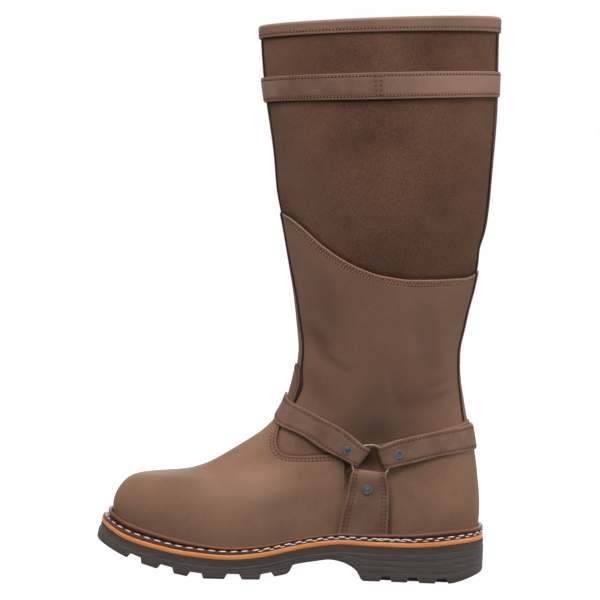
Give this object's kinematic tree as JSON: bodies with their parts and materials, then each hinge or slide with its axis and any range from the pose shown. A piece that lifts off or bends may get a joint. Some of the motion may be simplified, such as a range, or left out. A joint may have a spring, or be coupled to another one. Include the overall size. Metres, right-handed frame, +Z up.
{
  "type": "winter boot",
  "caption": "Tall leather pull-on boot for the right foot, with a harness of ring and straps at the ankle, a calf strap, a stitched welt and a lugged rubber sole with heel.",
  "frame": {"origin": "on the floor, under the middle of the boot's outline", "axes": "+Z up, the toe points to -X and the heel to +X, the inner side of the foot faces -Y"},
  "size_m": [0.309, 0.1128, 0.4488],
  "materials": {
    "sole_rubber": "matt black rubber",
    "midsole_leather": "natural edge",
    "welt_leather": "dark, waxed",
    "insole_leather": "plain",
    "shaft_leather": "napped above the seam, waxed below it",
    "vamp_leather": "waxed",
    "trim_leather": "smooth",
    "strap_leather": "smooth, stitched",
    "ring_metal": "nickel, worn",
    "rivet_metal": "dark, satin"
  },
  "bodies": {
    "root": {"outsole": "sole_rubber", "midsole": "midsole_leather", "welt": "welt_leather", "insole": "insole_leather", "upper": "shaft_leather", "vamp": "vamp_leather", "counter": "vamp_leather", "collar_binding": "trim_leather", "piping_front": "trim_leather", "piping_back": "trim_leather", "strap_calf": "strap_leather", "strap_instep": "strap_leather", "strap_heel": "strap_leather", "strap_side_medial": "strap_leather", "strap_side_lateral": "strap_leather", "ring_medial": "ring_metal", "ring_lateral": "ring_metal", "rivet_instep_medial": "rivet_metal", "rivet_instep_lateral": "rivet_metal", "rivet_heel_medial": "rivet_metal", "rivet_heel_lateral": "rivet_metal", "rivet_side_medial": "rivet_metal", "rivet_side_lateral": "rivet_metal"}
  },
  "joints": []
}
